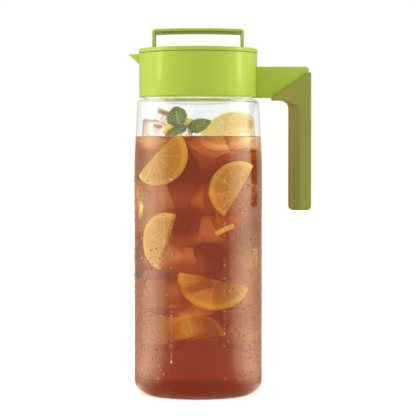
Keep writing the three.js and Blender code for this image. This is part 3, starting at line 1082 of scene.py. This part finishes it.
def slice_mesh(radius, thickness, arc):
    """A disc or part of one in the X-Z plane, with its own UV and a rounded rind"""
    bm = bmesh.new()
    verts = [bm.verts.new((part * radius, 0, 0)) for part in (0, *RING_SHARES)]
    for pair in zip(verts, verts[1:]):
        bm.edges.new(pair)
    spin(bm, (0, -1, 0), math.radians(arc), round(arc / 4), arc == 360)
    move_made(bm, bmesh.ops.extrude_face_region(bm, geom=bm.faces[:]), (0, thickness, 0))
    bmesh.ops.recalc_face_normals(bm, faces=bm.faces)
    uv = bm.loops.layers.uv.new("disc")
    for face in bm.faces:
        for loop in face.loops:
            loop[uv].uv = (loop.vert.co.x / radius, loop.vert.co.z / radius)
    for v in bm.verts:
        part = math.hypot(v.co.x, v.co.z) / radius
        swell = 1 - 0.35 * max(0, (part - FLESH_EDGE) / 0.16) ** 2
        wave = noise.noise(v.co * 120) * 0.12
        v.co.y = thickness / 2 + (v.co.y - thickness / 2) * (swell + wave * (part < FLESH_EDGE))
    return bm


def citrus_pattern(name):
    """Group: masks for segments, skins, pith and rind from a disc's own UV"""
    inputs = {"Segments": 10.0, "Skin Width": 0.07, "Flesh Edge": 0.86, "Rind Edge": 0.97}
    tree, given, out = group_tree(name, inputs, ("Pale", "Rind", "Streaks"))
    nodes = tree.nodes

    def calc(operation, *values):
        return maths(nodes, operation, *values)

    uv = add(nodes, "ShaderNodeUVMap", uv_map="disc").outputs["UV"]
    axes, reach = axes_of(nodes, uv), reach_of(nodes, uv)
    turn = calc("ARCTAN2", axes["Y"], axes["X"])
    shifted = calc("ADD", turn, calc("MULTIPLY", noise_at(nodes, uv, 3.0), 0.5))
    half_turns = calc("MULTIPLY", shifted, calc("MULTIPLY", given["Segments"], 0.5))
    gap = calc("MULTIPLY", calc("ABSOLUTE", calc("SINE", half_turns)), reach)
    skin = calc("LESS_THAN", gap, given["Skin Width"])
    core = calc("LESS_THAN", reach, 0.1)
    pith = calc("GREATER_THAN", reach, given["Flesh Edge"])
    values = {"X": calc("MULTIPLY", turn, 9.0), "Y": calc("MULTIPLY", reach, 2.5)}
    polar = add(nodes, "ShaderNodeCombineXYZ", values).outputs["Vector"]
    values = {
        "Pale": calc("MAXIMUM", calc("MAXIMUM", skin, core), pith),
        "Rind": calc("GREATER_THAN", reach, given["Rind Edge"]),
        "Streaks": noise_at(nodes, polar, 3.0, 4.0),
    }
    feed(out, values)
    return tree


def citrus_material(name, flesh, rind, pith, glow):
    """Juicy citrus that lets some light through, with a painted glow in its own colour"""
    material, nodes, shader = new_material(name)
    pattern = from_group(nodes, "Citrus Pattern", citrus_pattern)
    dark, light = [c * 0.75 for c in flesh], [min(1, c * 1.3) for c in flesh]
    tint = ramp(nodes, pattern["Streaks"], ((0.3, dark), (0.75, light)))
    for mask, above in (("Pale", pith), ("Rind", rind)):
        tint = blended(nodes, pattern[mask], tint, (*above, 1))
    # Painted light: the slice glows in its own colour, standing in for light scattered in the drink
    values = {
        "Base Color": tint,
        "Roughness": 0.35,
        "Normal": bumped(nodes, pattern["Streaks"], 0.5, 0.5 * MM),
        "Emission Color": tint,
        "Emission Strength": glow,
    }
    feed(shader, values)
    through = add(nodes, "ShaderNodeBsdfTranslucent", {"Color": tint}).outputs["BSDF"]
    both = crossed(nodes, 0.35, shader.outputs["BSDF"], through)
    feed(nodes["Material Output"], {"Surface": both})
    return material


def orange_material(name):
    fruit = bpy.context.scene.pitcher_fruit
    # The last number is the strength of the painted glow
    return citrus_material(name, fruit.flesh, fruit.rind, fruit.pith, 0.12)


def lemon_material(name):
    # The last number is the strength of the painted glow, stronger on the floating lemon
    return citrus_material(name, (1, 0.7, 0.25), (1, 0.86, 0.5), (1, 0.93, 0.72), 0.4)


class PITCHER_OT_citrus(bpy.types.Operator):
    """Citrus slices in the tea, one floating half out of it"""

    bl_idname = "pitcher.citrus"
    bl_label = "Citrus slices"

    def execute(self, context):
        fruit = context.scene.pitcher_fruit
        deep = named_material("orange_slice", orange_material)
        pale = named_material("lemon_slice", lemon_material)
        for name, centre, turn, bank, lean, arc, scale in SLICES:
            bm = slice_mesh(fruit.slice_radius * scale, fruit.slice_thickness, arc)
            matrix = place_facing(centre, turn, bank, lean)
            bmesh.ops.transform(bm, matrix=matrix, verts=bm.verts)
            keep_inside(bm, 0.6 * MM)
            floats = name == "slice_floating"
            dress(object_from(name, bm, 50), pale if floats else deep, "pitcher")
        return {"FINISHED"}


# Each leaf: name, centre in millimetres, turn, bank, lean, length and width in millimetres
LEAVES = (
    ("mint_leaf_top", (-17.3, -30, 232.4), -8, -16, -14, 19.5, 17.5),
    ("mint_leaf_right", (0.9, -30, 224.8), 8, 70, 12, 20.5, 11.5),
    ("mint_leaf_left", (-18.5, -33, 219.2), -6, -116, 10, 22, 8),
)
STEM = ((-9.4, -31, 226), (-7.4, -31.5, 221), (-4.2, -31, 215))
VEINS = 6


def leaf_mesh(long, wide):
    """A folded, veined and toothed leaf in the X-Z plane, its tip up, with its own UV"""
    bm = bmesh.new()
    bmesh.ops.create_grid(bm, x_segments=12, y_segments=28, size=0.5)
    uv = bm.loops.layers.uv.new("leaf")
    for face in bm.faces:
        for loop in face.loops:
            loop[uv].uv = (loop.vert.co.x + 0.5, loop.vert.co.y + 0.5)
    for v in bm.verts:
        across, along = 2 * v.co.x, v.co.y + 0.5
        outline = math.sin(math.pi * along**0.82) ** 0.75 if 0 < along < 1 else 0
        teeth = 1 + 0.08 * math.sin(along * math.tau * 9) * abs(across) ** 4
        x = across * outline * wide / 2 * teeth
        vein = math.sin((along - 0.35 * abs(across)) * math.tau * VEINS)
        fold = abs(across) * 0.1 * wide * outline
        curl = 0.5 * long * (along - 0.3) ** 2
        y = -fold + curl + 0.05 * wide * vein * outline * abs(math.sin(across * math.pi))
        v.co = (x, y, (along - 0.5) * long)
    bmesh.ops.remove_doubles(bm, verts=bm.verts, dist=0.01 * MM)
    bmesh.ops.recalc_face_normals(bm, faces=bm.faces)
    bmesh.ops.solidify(bm, geom=bm.faces[:], thickness=0.4 * MM)
    return bm


def mint_material(name):
    """Mint green with paler veins, and darker blotches that are painted shade of the leaf's
    puckering
    """
    green = bpy.context.scene.pitcher_fruit.mint
    material, nodes, shader = new_material(name)
    uv = add(nodes, "ShaderNodeUVMap", uv_map="leaf").outputs["UV"]
    axes = axes_of(nodes, uv)
    side = maths(nodes, "ABSOLUTE", maths(nodes, "SUBTRACT", axes["X"], 0.5))
    rise = maths(nodes, "MULTIPLY_ADD", side, -0.7, axes["Y"])
    wave = maths(nodes, "SINE", maths(nodes, "MULTIPLY", rise, VEINS * math.pi))
    midrib = maths(nodes, "MULTIPLY", side, 12.0)
    nearest = maths(nodes, "MINIMUM", maths(nodes, "ABSOLUTE", wave), midrib)
    pale = [min(1, c * 1.7 + 0.12) for c in green]
    veined = ramp(nodes, nearest, ((0.1, pale), (0.55, green)))
    # Painted shade: noise blotches darken the green where the puckered leaf would be shaded
    painted_pucker_shade = noise_at(nodes, uv, 14.0, 3.0)
    shade = ramp(nodes, painted_pucker_shade, ((0.42, (0.5, 0.53, 0.45)), (0.6, (1, 1, 1))))
    values = {
        "Base Color": blended(nodes, 1, veined, shade, blend_type="MULTIPLY"),
        "Roughness": 0.45,
        "Normal": bumped(nodes, nearest, 1.0, 0.7 * MM),
    }
    feed(shader, values)
    return material


class PITCHER_OT_mint(bpy.types.Operator):
    """Mint sprig over the tea"""

    bl_idname = "pitcher.mint"
    bl_label = "Mint"

    def execute(self, context):
        scale = context.scene.pitcher_fruit.mint_scale * MM
        material = named_material("mint_leaf", mint_material)
        for name, centre, turn, bank, lean, long, wide in LEAVES:
            bm = leaf_mesh(scale * long, scale * wide)
            matrix = place_facing(centre, turn, bank, lean)
            bmesh.ops.transform(bm, matrix=matrix, verts=bm.verts)
            dress(object_from(name, bm, 80), material, "pitcher")
        stem = bmesh.new()
        rings = []
        for point in STEM:
            ring = bmesh.ops.create_circle(stem, radius=0.6 * MM, segments=10)["verts"]
            bmesh.ops.translate(stem, verts=ring, vec=Vector(point) * MM)
            rings.append({e for v in ring for e in v.link_edges})
        for upper, lower in zip(rings, rings[1:]):
            bmesh.ops.bridge_loops(stem, edges=[*upper, *lower])
        bmesh.ops.holes_fill(stem, edges=stem.edges[:])
        bmesh.ops.recalc_face_normals(stem, faces=stem.faces)
        stem.loops.layers.uv.new("leaf")
        dress(object_from("mint_stem", stem, 60), material, "pitcher")
        return {"FINISHED"}


def ice_material(name):
    return clear_material(name, ICE_IOR, (0.05, 0.2), (1, 0.96, 0.94), bump=0.3)


class PITCHER_OT_ice(bpy.types.Operator):
    """The part of each floating cube that stands out of the tea"""

    bl_idname = "pitcher.ice"
    bl_label = "Ice"

    def execute(self, context):
        level = context.scene.pitcher_tea.level
        material = named_material("ice", ice_material)
        for k, place in enumerate(FLOATING_ICE):
            bm = ice_mesh(place, k)
            bmesh.ops.bisect_plane(
                bm,
                geom=bm.verts[:] + bm.edges[:] + bm.faces[:],
                plane_co=(0, 0, level),
                plane_no=(0, 0, 1),
                clear_inner=True,
            )
            dress(object_from(f"floating_ice_{k + 1}", bm, 60), material, "pitcher")
        return {"FINISHED"}


def bead_material(name):
    """Clear water, with here and there a bead tinted brown: a painted view of the dark tea behind
    it
    """
    material = clear_material(name, 1.33, (0, 0.01))
    nodes = material.node_tree.nodes
    # Painted view of the tea: noise picks the beads that are tinted dark brown
    painted_tea_spots = noise_at(nodes, object_place(nodes), 700)
    tint = ramp(nodes, painted_tea_spots, ((0.48, (0.45, 0.22, 0.12)), (0.52, (1, 1, 1))))
    feed(nodes["Principled BSDF"], {"Base Color": tint})
    return material


# Beads: azimuths from the front or back in degrees, heights and radii in millimetres
BEAD_AZIMUTHS, BEAD_HEIGHTS = (24, 88), (16, 188)
BEAD_RADII = (0.3, 0.35, 0.45, 0.55, 0.75)


class PITCHER_OT_condensation(bpy.types.Operator):
    """Beads of condensation on the jar, densest at its sides"""

    bl_idname = "pitcher.condensation"
    bl_label = "Condensation"

    def execute(self, context):
        draw = random.Random(7)
        nearest, farthest = BEAD_AZIMUTHS
        bead = bmesh.new()
        bmesh.ops.create_uvsphere(bead, u_segments=8, v_segments=6, radius=1)
        beads = []
        for _ in range(context.scene.pitcher_tea.droplets):
            side = draw.choice((-1, 1))
            spread = min(farthest, max(nearest, draw.gauss(50, 20)))
            azimuth = math.radians(side * spread + draw.choice((0, 0, 180)))
            height = draw.uniform(*BEAD_HEIGHTS) * MM
            size = draw.choice(BEAD_RADII) * MM
            stretch = draw.uniform(0.9, 1.3)
            matrix = (
                Matrix.Rotation(azimuth, 4, "Z")
                @ Matrix.Translation((0, -JAR_HIGH.x + 0.1 * MM, height))
                @ Matrix.Diagonal((size, size * 0.7, size * stretch, 1))
            )
            one = bead.copy()
            bmesh.ops.transform(one, matrix=matrix, verts=one.verts)
            beads.append(one)
        bead.free()
        material = named_material("water_bead", bead_material)
        dress(object_from("condensation_beads", merged(beads), 180), material, "pitcher")
        return {"FINISHED"}


# Studio

# What shiny surfaces mirror: angle from the camera's side in degrees, and brightness share
ROOM = (
    (0, 0.14),
    (50, 0.14),
    (56, 0.18),
    (60, 0.4),
    (64, 0.55),
    (72, 0.72),
    (84, 1.0),
    (96, 0.97),
    (101, 0.82),
    (110, 0.6),
    (120, 0.3),
    (128, 0.24),
    (137, 0.14),
    (180, 0.1),
)
# The floor mirrors as less bright within the first distance from the axis, in metres
DULL_WITHIN, BRIGHT_BEYOND, DULL_SHARE = 0.1, 0.22, 0.3
# Degrees from the camera's side of the left and right key, and of both fills
KEY_AZIMUTHS, FILL_AZIMUTH = ((-1, -80), (1, 87)), 86


def mirrored_room(name):
    """Group: how bright the room is that a surface mirrors in a direction"""
    inputs = {"Brightness": 1.0, "Way": (0, 0, 0)}
    tree, given, out = group_tree(name, inputs, ["Strength"])
    nodes = tree.nodes
    values = {0: given["Way"], 1: (1, 1, 0)}
    level = add(nodes, "ShaderNodeVectorMath", values, operation="MULTIPLY")
    values = {0: level.outputs["Vector"]}
    unit = add(nodes, "ShaderNodeVectorMath", values, operation="NORMALIZE")
    side = ranged(nodes, axes_of(nodes, unit.outputs["Vector"])["Y"], -1, 1)
    stops = [((1 - math.cos(math.radians(way))) / 2, (bright,) * 3) for way, bright in ROOM]
    strength = maths(nodes, "MULTIPLY", ramp(nodes, side, stops), given["Brightness"])
    feed(out, {"Strength": strength})
    return tree


class PITCHER_OT_studio(bpy.types.Operator):
    """Camera, softboxes, even sky and pale floor"""

    bl_idname = "pitcher.studio"
    bl_label = "Studio"

    def camera(self, scene, studio):
        camera = bpy.data.objects.new("camera", bpy.data.cameras.new("camera"))
        scene.collection.objects.link(camera)
        camera.location = (studio.across, -studio.distance, studio.height)
        camera.rotation_euler = (math.pi / 2 - studio.tilt, 0, 0)
        camera.data.lens = studio.lens
        camera.data.sensor_width = 36
        camera.data.clip_end = 20
        scene.camera = camera
        scene.view_settings.view_transform = "Standard"

    def softbox(self, studio, name, azimuth, width, radiance):
        """A tall area light that faces the jar, at an angle from the camera's side"""
        data = bpy.data.lights.new(name, "AREA")
        data.shape = "RECTANGLE"
        data.size = width
        data.size_y = studio.light_height
        data.energy = radiance * math.pi * width * studio.light_height
        data.color = studio.lamp_tint
        lamp = bpy.data.objects.new(name, data)
        bpy.context.scene.collection.objects.link(lamp)
        turn = math.radians(azimuth)
        out = Vector((math.sin(turn), -math.cos(turn), 0)) * studio.light_distance
        lamp.location = out + Vector((0, 0, studio.light_height / 2))
        lamp.rotation_euler = (-out).to_track_quat("-Z", "Y").to_euler()
        lamp.visible_camera = False
        lamp.visible_glossy = False
        return lamp

    def lamps(self, studio):
        """Two fills, and two keys that light and are mirrored by all but the jar"""
        spared = bpy.data.collections.new("spared_by_keys")
        for side, azimuth in KEY_AZIMUTHS:
            key = self.softbox(
                studio, f"key_{side}", azimuth, studio.key_width, studio.key_radiance
            )
            key.location.z += studio.key_foot
            key.visible_glossy = True
            key.light_linking.receiver_collection = spared
            azimuth = FILL_AZIMUTH * side
            self.softbox(
                studio, f"fill_{side}", azimuth, studio.fill_width, studio.fill_radiance
            )

    def rays(self, nodes):
        """The kinds of ray, and 1 for what the camera sees itself or through clear pieces"""
        path = add(nodes, "ShaderNodeLightPath").outputs
        return path, maths(nodes, "MAXIMUM", path["Is Camera Ray"], path["Is Transmission Ray"])

    def world(self, scene, studio):
        """White as seen, the mirrored room for glossy rays, an even sky for all other light"""
        world = bpy.data.worlds.new("studio")
        scene.world = world
        world.use_nodes = True
        nodes = world.node_tree.nodes
        path, seen = self.rays(nodes)
        way = add(nodes, "ShaderNodeTexCoord").outputs["Generated"]
        values = {"Way": way, "Brightness": studio.room}
        room = from_group(nodes, "Mirrored Room", mirrored_room, values)["Strength"]
        plain = blended(nodes, path["Is Glossy Ray"], studio.sky, room, data_type="FLOAT")
        shine = maths(nodes, "SUBTRACT", path["Is Glossy Ray"], seen, clamp=True)
        values = {
            "Color": blended(nodes, shine, (1, 1, 1, 1), (*studio.room_tint, 1)),
            "Strength": blended(nodes, seen, plain, 1.0, data_type="FLOAT"),
        }
        feed(nodes["Background"], values)

    def floor(self, studio):
        """Pale floor that keeps the shadow, and that glossy rays see as part of the room"""
        bm = bmesh.new()
        bmesh.ops.create_circle(bm, cap_ends=True, radius=6, segments=96)
        floor = object_from("floor", bm)
        material, nodes, shader = new_material("pale_floor")
        values = {"Base Color": (0.9, 0.9, 0.9, 1), "Roughness": 0.9, "Specular IOR Level": 0.1}
        feed(shader, values)
        path, seen = self.rays(nodes)
        values = {"Strength": maths(nodes, "MULTIPLY", seen, studio.floor_glow)}
        glow = add(nodes, "ShaderNodeEmission", values).outputs["Emission"]
        values = {0: shader.outputs["BSDF"], 1: glow}
        lit = add(nodes, "ShaderNodeAddShader", values).outputs["Shader"]
        way = object_place(nodes)
        dull, bright = DULL_SHARE * studio.room, studio.room
        bright = ranged(nodes, reach_of(nodes, way), DULL_WITHIN, BRIGHT_BEYOND, dull, bright)
        values = {"Way": way, "Brightness": bright}
        room = from_group(nodes, "Mirrored Room", mirrored_room, values)["Strength"]
        values = {"Color": (*studio.room_tint, 1), "Strength": room}
        mirror = add(nodes, "ShaderNodeEmission", values).outputs["Emission"]
        kinds = path["Is Glossy Ray"], path["Is Transmission Ray"]
        only = maths(nodes, "SUBTRACT", *kinds, clamp=True)
        feed(nodes["Material Output"], {"Surface": crossed(nodes, only, lit, mirror)})
        floor.data.materials.append(material)

    def execute(self, context):
        studio = context.scene.pitcher_studio
        self.camera(context.scene, studio)
        self.lamps(studio)
        self.world(context.scene, studio)
        self.floor(studio)
        return {"FINISHED"}


class PITCHER_PT_panel(bpy.types.Panel):
    """Lists the pieces and their settings"""

    bl_label = "Iced tea maker"
    bl_idname = "PITCHER_PT_panel"
    bl_space_type = "VIEW_3D"
    bl_region_type = "UI"
    bl_category = "Iced Tea"

    def draw(self, context):
        column = self.layout.column()
        for operator in OPERATORS:
            column.operator(operator.bl_idname)
        for name in GROUPS:
            box = column.box()
            values = getattr(context.scene, name)
            for key in values.__annotations__:
                box.prop(values, key)


GROUPS = {
    "pitcher_sizes": PitcherSizes,
    "pitcher_tea": TeaSettings,
    "pitcher_fruit": FruitSizes,
    "pitcher_finish": FinishColours,
    "pitcher_studio": StudioSettings,
}
OPERATORS = (
    PITCHER_OT_studio,
    PITCHER_OT_jar,
    PITCHER_OT_collar,
    PITCHER_OT_sleeve,
    PITCHER_OT_lid,
    PITCHER_OT_seals,
    PITCHER_OT_tea,
    PITCHER_OT_citrus,
    PITCHER_OT_mint,
    PITCHER_OT_ice,
    PITCHER_OT_condensation,
)


def register():
    for group in GROUPS.values():
        bpy.utils.register_class(group)
    for name, group in GROUPS.items():
        setattr(bpy.types.Scene, name, PointerProperty(type=group))
    for cls in (*OPERATORS, PITCHER_PT_panel):
        bpy.utils.register_class(cls)


def unregister():
    for cls in reversed((*OPERATORS, PITCHER_PT_panel)):
        bpy.utils.unregister_class(cls)
    for name, group in GROUPS.items():
        delattr(bpy.types.Scene, name)
        bpy.utils.unregister_class(group)


def main():
    register()
    for operator in OPERATORS:
        group, name = operator.bl_idname.split(".")
        getattr(getattr(bpy.ops, group), name)()


if __name__ == "__main__":
    main()
